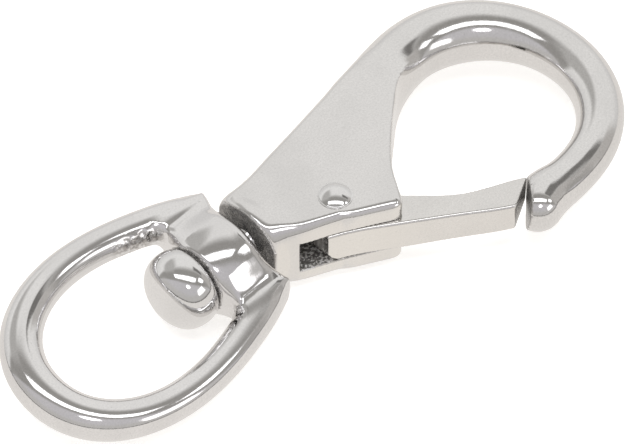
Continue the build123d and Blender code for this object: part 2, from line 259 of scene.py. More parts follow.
def net_quads(grid, number):
    """A quad around every grid edge that crosses the surface, facing outwards."""
    size = np.array(grid.shape)
    inside = grid < 0
    unit = np.eye(3, dtype=int)
    quads = []
    for axis in range(3):
        shift = unit[axis]
        first = inside[:size[0] - shift[0], :size[1] - shift[1], :size[2] - shift[2]]
        edges = np.argwhere(first != inside[shift[0]:, shift[1]:, shift[2]:])
        u, w = (axis + 1) % 3, (axis + 2) % 3
        for k in (u, w):
            edges = edges[(edges[:, k] > 0) & (edges[:, k] < size[k] - 1)]
        around = (edges - unit[u] - unit[w], edges - unit[w], edges, edges - unit[u])
        quad = np.stack([number[tuple(cells.T)] for cells in around], 1)
        outward = first[tuple(edges.T)][:, None]
        quads.append(np.where(outward, quad, quad[:, ::-1]))
    quads = np.concatenate(quads)
    return quads[(quads >= 0).all(1)]


def gradient(field, verts, reach):
    total = np.zeros_like(verts)
    for way in np.array([[1, 1, 1], [1, -1, -1], [-1, 1, -1], [-1, -1, 1]], float):
        total += way * field(verts + reach * way)[:, None]
    return total / (4 * reach)


def pull(field, verts, step):
    """Move the vertices onto the surface, half a grid step at most."""
    slope = gradient(field, verts, 0.02)
    move = (field(verts) / np.maximum((slope * slope).sum(1), 0.2))[:, None] * slope
    length = np.sqrt((move ** 2).sum(1))[:, None]
    return verts - move * np.minimum(1, 0.5 * step / np.maximum(length, 1e-9))


def neighbour_mean(verts, edges):
    total = np.zeros_like(verts)
    for k in range(3):
        for a, b in ((0, 1), (1, 0)):
            total[:, k] += np.bincount(edges[:, a], verts[edges[:, b], k], len(verts))
    return total / np.maximum(np.bincount(edges.ravel(), minlength=len(verts))[:, None], 1)


def extract(field, low, high, step):
    """Vertices, quads and unit normals of the field's zero surface in a box."""
    step = step * COARSEN
    low, high = np.array(low), np.array(high)
    grid = sample_grid(field, low, high, step)
    verts, number = net_vertices(grid)
    verts = low + verts * step
    quads = net_quads(grid, number)
    edges = np.concatenate([quads[:, [k, (k + 1) % 4]] for k in range(4)])
    edges = np.unique(np.sort(edges, 1), axis=0)
    for _ in range(2):
        verts = verts + 0.5 * (neighbour_mean(verts, edges) - verts)
        verts = pull(field, verts, step)
    for _ in range(3):
        verts = pull(field, verts, step)
    normals = gradient(field, verts, 0.03)
    normals /= np.maximum(np.sqrt((normals ** 2).sum(1))[:, None], 1e-9)
    return verts, quads, normals


# ============================================================================
# Mesh makers
# ============================================================================
def link_object(name, data):
    ob = bpy.data.objects.new(name, data)
    bpy.context.scene.collection.objects.link(ob)
    return ob


def net_object(name, verts, quads, normals, **attributes):
    """Object of smooth quads with custom normals and per-vertex float attributes."""
    mesh = bpy.data.meshes.new(name)
    mesh.vertices.add(len(verts))
    mesh.vertices.foreach_set("co", (verts * MM).astype(np.float32).ravel())
    mesh.loops.add(quads.size)
    mesh.loops.foreach_set("vertex_index", quads.astype(np.int32).ravel())
    mesh.polygons.add(len(quads))
    mesh.polygons.foreach_set("loop_start", np.arange(0, quads.size, 4, dtype=np.int32))
    mesh.polygons.foreach_set("loop_total", np.full(len(quads), 4, np.int32))
    mesh.polygons.foreach_set("use_smooth", np.ones(len(quads), bool))
    mesh.update(calc_edges=True)
    mesh.validate()
    for key, values in attributes.items():
        attribute = mesh.attributes.new(key, "FLOAT", "POINT")
        attribute.data.foreach_set("value", np.asarray(values, np.float32))
    mesh.normals_split_custom_set_from_vertices(normals.tolist())
    return link_object(name, mesh)


def face_object(name, verts, faces):
    """Object from mm points and faces; triangles and quads are smooth, larger faces flat."""
    mesh = bpy.data.meshes.new(name)
    mesh.from_pydata((verts * MM).tolist(), [], faces)
    for face in mesh.polygons:
        face.use_smooth = len(face.vertices) <= 4
    mesh.update()
    return link_object(name, mesh)


def ring_quads(first, rings, seg):
    """Quads joining consecutive rings of seg vertices, starting at vertex first."""
    return [(a + j, a + (j + 1) % seg, a + seg + (j + 1) % seg, a + seg + j)
            for a in range(first, first + (rings - 1) * seg, seg) for j in range(seg)]


def lathe(name, profile, origin, axis, seg):
    """Closed turned solid: profile rows are (along axis, radius), from pole to pole."""
    profile, axis = np.array(profile, float), np.array(axis, float)
    across = np.array([0, 0, 1.0]) if abs(axis[2]) < 0.5 else np.array([1.0, 0, 0])
    angle = np.linspace(0, 2 * np.pi, seg, endpoint=False)[:, None]
    spokes = np.cos(angle) * across + np.sin(angle) * np.cross(axis, across)
    verts = [origin + axis * profile[0, 0]]
    for along, radius in profile[1:-1]:
        verts.extend(origin + axis * along + spokes * radius)
    verts.append(origin + axis * profile[-1, 0])
    rings = len(profile) - 2
    last = len(verts) - 1
    faces = [(0, 1 + (j + 1) % seg, 1 + j) for j in range(seg)]
    faces += ring_quads(1, rings, seg)
    faces += [(last - seg + j, last - seg + (j + 1) % seg, last) for j in range(seg)]
    return face_object(name, np.array(verts), faces)


# ============================================================================
# Hook
# ============================================================================
# outlines of the plate part, rows (x, y): +y side, then -y side down to and up from the lobe
UPPER_EDGE = Curve([
    (14.0, 4.6), (18.0, 4.7), (21.0, 4.75), (25.0, 4.82), (30.6, 5.80), (35.6, 6.76),
    (40.7, 7.85), (46.0, 9.22), (51.4, 11.1), (55.0, 12.35), (57.5, 13.0), (60.0, 13.4),
    (64.0, 13.6), (70.0, 13.6)])
LOWER_EDGE = Curve([
    (14.0, -5.2), (18.0, -5.35), (21.0, -5.6), (22.6, -6.2), (24.6, -7.35), (27.5, -8.55),
    (31.5, -10.45), (34.0, -11.75), (35.6, -12.6), (36.45, -13.0), (37.15, -13.1),
    (37.75, -12.82), (38.25, -12.25), (38.75, -11.35), (39.85, -9.5), (41.45, -7.3),
    (43.4, -5.25), (45.45, -3.35), (48.3, -0.85), (50.6, 1.05), (53.5, 3.0), (56.5, 4.15),
    (59.5, 4.68), (64.0, 4.8), (70.0, 4.8)], 0.2)
# centre line of the round bend, rows (x, y, radius)
BEND = Curve([
    (44.4, 2.9, 4.9), (47.9, 4.80, 4.72), (51.75, 6.80, 4.52), (55.4, 8.20, 4.40),
    (59.10, 9.02, 4.36), (62.53, 9.24, 4.37), (66.37, 8.58, 4.41), (69.84, 6.94, 4.37),
    (72.74, 4.46, 4.23), (74.91, 1.31, 4.05), (76.24, -2.30, 3.87), (76.67, -6.16, 3.74),
    (76.18, -10.02, 3.62), (74.80, -13.62, 3.50), (72.60, -16.77, 3.38),
    (69.69, -19.31, 3.25), (66.24, -21.11, 3.16), (62.45, -22.12, 3.14),
    (58.57, -22.47, 3.25), (54.89, -22.55, 3.56), (53.35, -23.0, 3.5)])
# rows (x, radius about the x axis): flare behind the end face, then the neck
END_FLARE = smooth_table([
    (20.0, 5.6), (21.0, 6.15), (21.2, 6.45), (21.6, 6.8), (22.25, 7.2), (23.0, 7.65),
    (24.0, 8.2), (26.0, 9.0), (30.0, 10.5), (36.0, 16.0), (64.0, 30.0), (90.0, 60.0)], 0.16)
NECK = smooth_table([
    (19.0, 6.3), (21.9, 6.3), (22.6, 6.18), (23.2, 5.9), (23.8, 5.4), (24.4, 4.6),
    (26.0, 2.0), (90.0, 2.0)], 0.4)
# rows (x, half thickness in z)
THICKNESS = smooth_table([
    (10.0, CHEEK_HALF), (37.0, CHEEK_HALF), (40.0, 5.63), (42.0, 5.52), (44.0, 5.35),
    (46.0, 5.16), (48.0, 4.99), (50.0, 4.86), (54.0, 4.62), (58.0, 4.45), (64.0, 4.38),
    (90.0, 4.38)], 1.2)
# gate slot, rows (x, y), cut to SLOT_HALF either side of z = 0
SLOT = [(24.4, -40.0), (24.4, 3.9), (28.0, 3.9), (30.0, 0.5), (33.0, -1.6), (35.0, -2.3),
        (38.0, -3.1), (41.2, -3.75), (46.0, -4.2), (60.0, -8.0), (60.0, -40.0)]
SLOT_HALF = 2.6
NOSE = (54.95, -19.45)          # point on the flat cut at the end of the bend
NOSE_NORMAL = (0.724, -0.690)   # into the metal
NOSE_TWIST = 0.02               # skew of the cut with z
UPPER_RADIUS = 1.5              # corner along the +y edge
# where the soft corner of the -y edge starts and ends its change to the crisp one
SOFT_END, CRISP_START = LOWER_EDGE.closest(np.array([36.9, 39.6]), np.array([-13.1, -9.9]))[0]


def from_pivot(x, y):
    return np.hypot(x - PIVOT[0], y - PIVOT[1])


def slot_sd(x, y, z):
    return np.maximum(poly_sd(x, y, SLOT), np.abs(z) - SLOT_HALF)


def nose_plane(x, y, z):
    """Distance from the nose cut, positive in the metal."""
    dx, dy = x - NOSE[0], y - NOSE[1]
    nx, ny = NOSE_NORMAL
    return dx * nx + dy * ny - NOSE_TWIST * z * np.clip(dx * ny - dy * nx, 0, 6.5)


def mouth_depth(x, y):
    """How far a point lies behind the -y face of the plate at the slot."""
    return y + 7.35 + 0.47 * (x - 24.6)


def plate_sd(x, y, z):
    """The flat-sided part with the neck, the gate slot and the two rivet holes."""
    upper, _ = UPPER_EDGE.side(x, y)
    lower, param = LOWER_EDGE.side(x, y)
    lower = -lower
    faces = np.abs(z) - np.interp(x, *THICKNESS)
    soft = sstep(param, CRISP_START, SOFT_END)
    lower_radius = 0.55 + 0.75 * soft + sstep(x, 25.5, 21.5)
    dist = np.maximum(round_and(upper, faces, UPPER_RADIUS),
                      round_and(lower, faces, lower_radius))
    radial = np.hypot(y, z)
    neck = (radial - np.interp(x, *NECK)) * 0.8
    neck = smax(neck, y - 5.0, blend=0.7)
    neck = smax(neck, lower - 0.05, blend=0.4)
    neck = np.where(x < 27.0, neck, 9.0)
    dist = smin(dist, neck, blend=0.55)
    dist = smax(dist, (radial - np.interp(x, *END_FLARE)) * 0.80, blend=0.6)
    dist = smax(dist, HOOK_FACE - x, blend=0.30)
    dist = smax(dist, -slot_sd(x, y, z), blend=0.22)
    dist = np.maximum(dist, np.where(x < 25.5, PIN_R - radial, -9))
    return np.maximum(dist, RIVET_HOLE_R - from_pivot(x, y))


def bend_sd(x, y, z):
    """The round bend with the flat cut at its nose."""
    bar = BEND.bar_sd(x, y, z)
    at_nose = (y < -16.5) & (x < 60)
    return np.where(at_nose, smax(bar, -nose_plane(x, y, z), blend=0.22), bar)


def hook_sd(points):
    x, y, z = points.T
    # share of the bend: along the back, and along the inside of the throat
    share = sstep((x - 52.0) * 0.90 + (y - 6.5) * 0.436, -4.0, 8.0)
    share = np.maximum(share, sstep((x - 48.0) * 0.8 - (y + 6.0) * 0.6, 2.5, 6.0))
    parts = []
    for part_sd, used in ((plate_sd, share < 1.0), (bend_sd, share > 0.0)):
        dist = np.zeros(len(x))
        if used.any():
            dist[used] = part_sd(x[used], y[used], z[used])
        parts.append(dist)
    dist = (1 - share) * parts[0] + share * parts[1]
    # as-cast grain on the walls of the gate slot
    grainy = (np.abs(z) < SLOT_HALF + 0.5) & (x > 24.0) & (x < 34.0)
    grainy &= (mouth_depth(x, y) > 0.2) & (np.abs(dist) < 0.6)
    if grainy.any():
        spots = points[grainy]
        wall = np.abs(slot_sd(*spots.T))
        depth = mouth_depth(spots[:, 0], spots[:, 1])
        amount = sstep(wall, 0.4, 0.15) * sstep(depth, 0.25, 0.9)
        dist[grainy] += amount * 0.22 * (lattice_noise(spots, scale=0.62, seed=3) - 0.5)
    return dist


def make_hook():
    """Hook mesh; the slot walls, end face and nose cut are marked rough as-cast with painted
    shade, the slot walls also with painted glints, and the faces turned to -y get a painted,
    warmer floor reflection.
    """
    verts, quads, normals = extract(hook_sd, (20.4, -27.6, -6.6), (81.2, 14.6, 6.6), 0.30)
    x, y, z = verts.T
    slot = (np.abs(slot_sd(x, y, z)) < 0.16) * sstep(mouth_depth(x, y), 0.02, 0.35)
    slot = slot * sstep(x, 46.0, 43.0)
    face = sstep(x, HOOK_FACE + 0.10, HOOK_FACE + 0.03) * sstep(np.hypot(y, z), 6.15, 5.9)
    nose = (np.abs(nose_plane(x, y, z)) < 0.06) & (y < -17.5) & (x < 58)
    # painted shade on the slot walls, end face and nose cut, which sit in recesses and gaps; the
    # same mark also makes them rougher
    cast = np.maximum(slot, np.maximum(0.64 * face, 0.6 * nose))
    # painted reflection: faces turned to -y get a warmer tint, standing in for the pale floor
    # they mirror
    warm = sstep(-normals[:, 1], 0.78, 0.92) * sstep(x, 50.0, 46.0) * (y < 3.0)
    return net_object("hook_casting", verts, quads, normals,
                      cast=cast, pit=np.zeros(len(x)), warm=warm)


# ============================================================================
# Gate
# ============================================================================
# outlines, rows (x, y): the -y side, then the +y side round the pivot
GATE_OUTER = Curve([
    (53.5, -24.7), (50.45, -22.78), (48.94, -21.95), (44.88, -19.30), (40.72, -16.54),
    (36.22, -13.62), (32.16, -11.0), (29.6, -9.62), (27.6, -8.72), (24.0, -7.2)])
GATE_INNER = Curve([
    (57.5, -20.9), (54.70, -19.60), (52.7, -18.62), (50.15, -17.55), (47.67, -16.42),
    (45.44, -15.05), (43.58, -13.45), (41.95, -11.85), (40.3, -10.25), (38.0, -8.0),
    (36.3, -5.8), (34.6, -3.40), (31.8, -2.30), (29.1, -3.30), (28.0, -5.4), (27.9, -7.2),
    (27.9, -9.6), (27.9, -12.0)], 0.2)
GATE_THICKNESS = ((24, 38, 56), (2.5, 2.5, 2.25))       # x, half thickness in z
GATE_TIP = ((54.55, -19.75), (49.65, -22.36))           # two points on the slanted end face
GATE_BORE_R = 1.41
HEEL_X, HEEL_Z, HEEL_R = 30.05, -0.3, 2.18              # rounding of the heel on the -z side
POCKET_DEPTH = 2.26                                     # pocket floor, outwards of the pivot
POCKET_R = 2.27
POCKET_HALF = 1.15                                      # half width in z


def on_gate(along, out):
    return tuple(PIVOT + GATE_ALONG * along + GATE_OUT * out)


# spring pocket, rows (x, y)
POCKET = [on_gate(0, POCKET_DEPTH), on_gate(7.6, POCKET_DEPTH), on_gate(7.6, -6.0),
          (34.0, 1.0), (26.0, 1.0), (26.0, -5.6), on_gate(-1.9, 0.6)]


def gate_tip(x, y):
    """Signed distance from the slanted end face, positive beyond it."""
    (start_x, start_y), (end_x, end_y) = GATE_TIP
    dx, dy = end_x - start_x, end_y - start_y
    return ((x - start_x) * -dy + (y - start_y) * dx) / math.hypot(dx, dy)


def gate_sd(points):
    x, y, z = points.T
    outer, _ = GATE_OUTER.side(x, y)
    inner, _ = GATE_INNER.side(x, y)
    faces = np.abs(z) - np.interp(x, *GATE_THICKNESS)
    dist = np.maximum(round_and(outer, faces, 0.5), round_and(-inner, faces, 0.28))
    dist = smax(dist, gate_tip(x, y), blend=0.22)
    heel = np.hypot(x - HEEL_X, z - HEEL_Z) - HEEL_R
    dist = np.maximum(dist, np.where((x < HEEL_X) & (z < HEEL_Z), heel, -9))
    pivot = from_pivot(x, y)
    dist = np.maximum(dist, GATE_BORE_R - pivot)
    pocket = np.minimum(poly_sd(x, y, POCKET), pivot - POCKET_R)
    pocket = np.maximum(pocket, np.abs(z) - POCKET_HALF)
    return smax(dist, -pocket, blend=0.15)


def make_gate():
    """Gate mesh; the pocket, the pivot surround and the tip are marked rough as-cast with
    painted shade, and the faces turned to -y get a painted, warmer floor reflection.
    """
    verts, quads, normals = extract(gate_sd, (27.2, -24.6, -2.9), (56.0, -1.6, 2.9), 0.24)
    x, y, z = verts.T
    # painted shade on the pocket and pivot surround under the cheeks, and on the tip face in the
    # gap at the nose
    pocket = (np.abs(z) < 1.2) & (x < 39.5) & (y > -11.2 - 0.66 * (x - 36.2))
    inner = ((from_pivot(x, y) < 4.2) & (y > -8.0)) | pocket
    tip = (np.abs(gate_tip(x, y)) < 0.06) & (x > 46)
    # painted reflection: faces turned to -y get a warmer tint, standing in for the pale floor
    # they mirror
    warm = sstep(-normals[:, 1], 0.70, 0.80) * (0.45 + 0.55 * sstep(x, 42.0, 34.0))
    return net_object("gate_arm_plate", verts, quads, normals,
                      cast=np.maximum(inner * 0.7, tip * 0.6), pit=np.zeros(len(x)), warm=warm)


# ============================================================================
# Eye, in its own frame: x, then v and w, which are y and z turned about x
# ============================================================================
EYE_TILT = math.radians(14.5)
EYE_BORE_R = 2.31
# one half of the ring and its arm, rows (x, v, bar radius)
EYE_HALF = [
    (-15.24, 0.00, 2.96), (-14.63, 3.65, 2.93), (-12.83, 6.81, 2.84), (-10.09, 9.22, 2.71),
    (-6.73, 10.85, 2.57), (-3.08, 11.74, 2.47), (0.66, 11.99, 2.43), (4.36, 11.73, 2.42),
    (7.98, 11.07, 2.46), (11.51, 10.13, 2.52), (15.03, 9.02, 2.56), (18.45, 7.80, 2.40)]
RING = Curve(EYE_HALF[::-1] + [(x, -v, radius) for x, v, radius in EYE_HALF[1:]])


def eye_local(points):
    x, y, z = points.T
    cos, sin = math.cos(EYE_TILT), math.sin(EYE_TILT)
    return np.stack([x, y * cos + z * sin, -y * sin + z * cos], 1)


def pit_mask(x, v, w):
    """Cast pitting along the inside of the +v arm, fainter on the -v arm."""
    flat = np.hypot((x - 9.3) / 4.6, (v - 8.3 - 0.22 * (9.3 - x)) / 1.9)
    strong = sstep(np.hypot(flat, (w - 0.9) / 2.6), 1.0, 0.45)
    faint = 0.45 * sstep(np.hypot((x - 11.8) / 2.0, (v + 7.4) / 1.8), 1.0, 0.4)
    return np.maximum(strong, faint)


def eye_sd(points):
    local = eye_local(points)
    x, v, w = local.T
    radial, off = np.hypot(v, w), np.abs(v)
    collar = radial - (6.2 - 0.043 * np.clip(16.9 - x, 0, 6) ** 2)
    collar = np.maximum(round_and(collar, 12.0 - x, 0.45), round_and(collar, x - 19.3, 1.5))
    # web between collar and arm: a valley whose floor climbs a little towards the arm
    web_end = x - 19.5 - 0.38 * np.clip(off - 4.6, 0, 3.6)
    web_side = np.maximum(off - 8.6, np.maximum(12.7 - x, web_end))
    web_half = 2.45 + 0.36 * np.clip(7.4 - off, 0.0, 3.6)
    web = round_and(web_side, np.abs(w) - web_half, 0.9)
    dist = smin(RING.bar_sd(x, v, w), web, blend=1.3)
    dist = smin(dist, collar, blend=1.9)
    dist = smax(dist, x - 20.82, blend=0.25)
    dist = np.where(x > 8.0, np.maximum(dist, EYE_BORE_R - radial), dist)
    grain = (lattice_noise(local, scale=0.75, seed=1) * 0.62
             + lattice_noise(local, scale=0.42, seed=2) * 0.38)
    pits = pit_mask(x, v, w) * (radial > 3.5)
    return dist + pits * (0.36 * np.clip(grain - 0.45, -0.15, 1))


def make_eye():
    """Eye mesh; the bore and the collar's end faces around it, in the gaps by the rivet head and
    the hook, are marked rough as-cast with painted shade and faint painted glints.
    """
    verts, quads, normals = extract(eye_sd, (-19.0, -15.2, -7.6), (21.6, 15.2, 7.6), 0.27)
    x, v, w = eye_local(verts).T
    radial = np.hypot(v, w)
    # painted shade on the bore and the collar's end faces in the gaps
    dark = ((radial < 5.0) & (x < 12.08)) | ((radial < 4.9) & (x > 19.0)) | (radial < 2.4)
    return net_object("eye_casting", verts, quads, normals,
                      cast=(dark & (x > 8.0)) * 0.8, pit=pit_mask(x, v, w))


# ============================================================================
# Rivets and spring
# ============================================================================
def make_swivel_rivet():
    """Swivel rivet, rows (x, radius): dome inside the eye, shank, upset tail in the slot."""
    dome = Curve([
        (5.45, 0.0), (5.50, 1.3), (5.72, 2.5), (6.15, 3.55), (6.80, 4.45), (7.65, 5.10),
        (8.7, 5.46), (9.8, 5.54), (10.7, 5.40), (11.3, 5.08), (11.62, 4.6), (11.70, 4.0)], 0.16)
    profile = [(5.45, 0.0)] + [tuple(row) for row in dome.samples[1:]]
    profile += [(11.70, 3.0), (11.72, 2.30), (11.9, PIN_R), (24.35, PIN_R), (24.40, 2.5),
                (24.46, 2.52), (25.3, 2.52), (25.8, 2.30), (26.1, 1.6), (26.2, 0.8), (26.2, 0.0)]
    return lathe("swivel_pin", profile, (0, 0, 0), (1, 0, 0), 176)


def make_gate_rivet():
    """Gate rivet: shank with a low dome on each cheek."""
    base_r, height, rim_r = 2.37, 0.95, 2.30
    sphere = (base_r ** 2 + height ** 2) / (2 * height)
    half = []
    for i in range(13):
        angle = math.asin(rim_r / sphere) * i / 12
        half.append((CHEEK_HALF + sphere * math.cos(angle) - sphere + height,
                     sphere * math.sin(angle)))
    # rim, the step under it and the shank, rows (z from the cheek, radius)
    half += [(CHEEK_HALF + rise, radius) for rise, radius in (
        (0.10, 2.355), (0.03, base_r), (0.0, 2.34), (-0.01, 1.8), (-0.02, RIVET_HOLE_R),
        (-0.3, 1.34))]
    profile = [(-z, radius) for z, radius in half] + half[::-1]
    return lathe("gate_pin", profile, (PIVOT[0], PIVOT[1], 0), (0, 0, 1), 128)


def make_spring():
    """Torsion spring: a coil round the pivot with a leg to the hook and a leg along the gate."""
    coil_r, coil_half, wire_r, seg = 1.85, 0.78, 0.285, 20
    hook_tip = np.array([39.2, -3.80, -coil_half])
    gate_leg = 6.6
    reach = hook_tip[:2] - PIVOT
    start = math.atan2(reach[1], reach[0]) + math.acos(coil_r / np.hypot(*reach))
    end = math.radians(GATE_ANGLE - 90 + 3 * 360)
    turn = np.arange(121) / 120
    angle = start + (end - start) * turn
    coil = np.stack([PIVOT[0] + coil_r * np.cos(angle), PIVOT[1] + coil_r * np.sin(angle),
                     -coil_half + 2 * coil_half * turn], 1)
    leg = np.arange(12)[:, None] / 12
    path = np.concatenate([
        hook_tip + (coil[0] - hook_tip) * leg,
        coil,
        coil[-1] + np.r_[GATE_ALONG, 0] * gate_leg * (leg + 1 / 12)])
    tangent = np.gradient(path, axis=0)
    tangent /= np.linalg.norm(tangent, axis=1)[:, None]
    across = np.cross(tangent, [0, 0, 1.0])
    across /= np.linalg.norm(across, axis=1)[:, None]
    other = np.cross(tangent, across)
    around = (np.arange(seg) * 2 * np.pi / seg)[None, :, None]
    spokes = np.cos(around) * across[:, None] + np.sin(around) * other[:, None]
    verts = (path[:, None] + wire_r * spokes).reshape(-1, 3)
    faces = ring_quads(0, len(path), seg)
    faces += [tuple(range(seg))[::-1], tuple(range(len(verts) - seg, len(verts)))]
    return face_object("spring_wire", verts, faces)


# ============================================================================
# Materials
# ============================================================================
class Graph:
    """Writes an emptied node tree as expressions. Colour tuples are r, g, b."""

    def __init__(self, owner, output):
        owner.use_nodes = True
        self.tree = owner.node_tree
        self.tree.nodes.clear()
        self.out = self.node(output)

    def node(self, kind, **settings):
        node = self.tree.nodes.new(kind)
        for key, value in settings.items():
            setattr(node, key, value)
        return node

    def put(self, socket, value):
        if isinstance(value, bpy.types.NodeSocket):
            self.tree.links.new(value, socket)
        else:
            socket.default_value = value + (1,) if isinstance(value, tuple) else value

    def join(self, kind, *values):
        """Node of this kind with its first inputs filled; returns its first output."""
        node = self.node(kind)
        for socket, value in zip(node.inputs, values):
            self.put(socket, value)
        return node.outputs[0]

    def math(self, operation, first, second):
        node = self.node("ShaderNodeMath", operation=operation)
        self.put(node.inputs[0], first)
        self.put(node.inputs[1], second)
        return node.outputs[0]

    def mul(self, first, second):
        return self.math("MULTIPLY", first, second)

    def add(self, first, second):
        return self.math("ADD", first, second)

    def ramp(self, value, over, to=(0.0, 1.0), kind="SMOOTHSTEP"):
        """Maps the range over (which may run downwards) onto the range to."""
        node = self.node("ShaderNodeMapRange", interpolation_type=kind)
        self.put(node.inputs["Value"], value)
        for key, number in zip(("From Min", "From Max", "To Min", "To Max"), over + to):
            node.inputs[key].default_value = number
        return node.outputs[0]

    def between(self, value, rise, fall):
        """1 between the ranges rise and fall, 0 outside them."""
        return self.mul(self.ramp(value, rise), self.ramp(value, fall))

    def mix(self, factor, first, second):
        node = self.node("ShaderNodeMix", data_type="RGBA")
        for index, value in ((0, factor), (6, first), (7, second)):
            self.put(node.inputs[index], value)
        return node.outputs[2]

    def coords(self, kind):
        return self.node("ShaderNodeTexCoord").outputs[kind]

    def dot(self, vector, direction):
        node = self.node("ShaderNodeVectorMath", operation="DOT_PRODUCT")
        self.put(node.inputs[0], vector)
        node.inputs[1].default_value = direction
        return node.outputs["Value"]

    def noise(self, vector, scale, detail=2.0, rough=0.5):
        node = self.node("ShaderNodeTexNoise")
        self.put(node.inputs["Vector"], vector)
        node.inputs["Scale"].default_value = scale
        node.inputs["Detail"].default_value = detail
        node.inputs["Roughness"].default_value = rough
        return node.outputs["Fac"]

    def attribute(self, name):
        return self.node("ShaderNodeAttribute", attribute_name=name).outputs["Fac"]

    def bump(self, height, strength, distance, normal=None):
        node = self.node("ShaderNodeBump")
        node.inputs["Strength"].default_value = strength
        node.inputs["Distance"].default_value = distance
        self.put(node.inputs["Height"], height)
        if normal is not None:
            self.put(node.inputs["Normal"], normal)
        return node.outputs[0]


def cast_finish(graph, co, colour, rough, normal):
    """Lays rough as-cast areas, dark with painted shade and painted glints, and pits over a
    polish, where the attributes say so.
    """
    cast, pit = graph.attribute("cast"), graph.attribute("pit")
    grain = graph.noise(co, scale=1500.0, detail=4.0, rough=0.6)
    # painted shade: dark greys for the as-cast recesses and gaps
    shade_and_glint_colour = graph.mix(graph.ramp(grain, over=(0.40, 0.66)), (0.12, 0.112, 0.105),
                     (0.42, 0.40, 0.37))
    # painted glints, then a painted light and dark sparkle, only where the as-cast mark is
    # strong
    glint = graph.ramp(graph.noise(co, scale=2000.0, detail=1.0), over=(0.56, 0.62))
    glint = graph.mul(glint, graph.ramp(cast, over=(0.7, 0.9)))
    shade_and_glint_colour = graph.mix(glint, shade_and_glint_colour, (1.0, 0.98, 0.95))
    sparkle = graph.ramp(graph.noise(co, scale=2600.0, detail=1.0), over=(0.50, 0.57))
    sparkle = graph.mix(sparkle, (0.20, 0.192, 0.183), (1.0, 0.985, 0.96))
    shade_and_glint_colour = graph.mix(graph.mul(graph.ramp(cast, over=(0.8, 0.95)), 0.75), shade_and_glint_colour, sparkle)
    # painted shade: the as-cast mark swaps the polish colour for the dark colour with its
    # painted glints
    colour = graph.mix(cast, colour, shade_and_glint_colour)
    pit_dark = graph.ramp(grain, over=(0.6, 0.42), to=(0.0, 0.7))
    colour = graph.mix(graph.mul(pit, pit_dark), colour, (0.42, 0.40, 0.38))
    polished = graph.math("SUBTRACT", 1.0, cast)
    rough = graph.add(graph.mul(rough, polished), graph.mul(cast, 0.36))
    rough = graph.add(rough, graph.mul(pit, 0.07))
    relief = graph.add(graph.mul(cast, 1.0), graph.mul(pit, 0.22))
    normal = graph.bump(graph.mul(relief, grain), strength=0.9, distance=0.00016, normal=normal)
    metallic = graph.math("SUBTRACT", 1.0, graph.mul(cast, 0.7))
    return colour, rough, normal, metallic


def steel(name, tint, rough, haze=1.0, lines=None, marked=True):
    """Polished metal with satin grain and smears, scaled by haze.

    lines is (rotation, scale, amount) of stretched hairlines. marked metals read the mesh
    attributes for the rough as-cast areas with painted shade and painted glints, for pits,
    and for the painted floor reflection on faces turned to -y.
    """
    material = bpy.data.materials.new(name)
    graph = Graph(material, "ShaderNodeOutputMaterial")
    shader = graph.node("ShaderNodeBsdfPrincipled")
    graph.put(graph.out.inputs[0], shader.outputs[0])
    co = graph.coords("Object")
    fine = graph.noise(co, scale=5200.0, detail=3.0, rough=0.65)
    mid = graph.noise(co, scale=900.0, detail=3.0, rough=0.55)
    big = graph.noise(co, scale=110.0)
    wave = graph.noise(co, scale=330.0)

    # colour: broad patches, fine tone, painted floor reflection on faces turned to -y, dark
    # specks
    colour = graph.mix(graph.ramp(big, over=(0.35, 0.7)), tint, tuple(c * 0.93 for c in tint))
    tone = graph.noise(co, scale=3900.0, rough=0.6)
    tone = graph.ramp(tone, over=(0.30, 0.70), kind="LINEAR")
    colour = graph.mix(graph.mul(tone, 0.55 * haze), colour, tuple(c * 0.80 for c in tint))
    if marked:
        # painted reflection: a warmer tint where the mesh marks faces turned to -y
        warm = graph.mul(graph.attribute("warm"), 0.55)
        colour = graph.mix(warm, colour, (0.925, 0.895, 0.84))
    speck = graph.ramp(graph.noise(co, scale=2600.0), over=(0.66, 0.74))
    colour = graph.mix(graph.mul(speck, 0.10), colour, (0.25, 0.24, 0.23))

    # roughness and relief: each grain by its weight
    rough = graph.add(rough, graph.mul(graph.ramp(mid, over=(0.35, 0.8)), 0.05 * haze))
    rough = graph.add(rough, graph.mul(graph.ramp(big, over=(0.4, 0.75)), 0.03 * haze))
    height = graph.add(graph.mul(mid, 0.75), graph.mul(wave, 1.5 * haze))
    height = graph.add(graph.mul(fine, 0.42), height)
    if lines is not None:
        rotation, scale, amount = lines
        mapping = graph.node("ShaderNodeMapping")
        graph.put(mapping.inputs["Vector"], co)
        mapping.inputs["Rotation"].default_value = rotation
        mapping.inputs["Scale"].default_value = scale
        hairs = graph.noise(mapping.outputs[0], scale=1.0, detail=3.0, rough=0.6)
        height = graph.add(height, graph.mul(hairs, amount))
        hair_rough = graph.mul(graph.ramp(hairs, over=(0.4, 0.7)), 0.03 * amount)
        rough = graph.add(rough, hair_rough)
    normal = graph.bump(height, strength=0.55, distance=0.0000105)
    metallic = 1.0
    if marked:
        colour, rough, normal, metallic = cast_finish(graph, co, colour, rough, normal)
    for key, value in (("Base Color", colour), ("Roughness", rough), ("Metallic", metallic),
                       ("Normal", normal)):
        graph.put(shader.inputs[key], value)
    return material


# ============================================================================
# Stage: floor, surroundings, light, camera (metres)
# ============================================================================
FLOOR_Z = -0.0067
FLOOR_HALF = 3.0


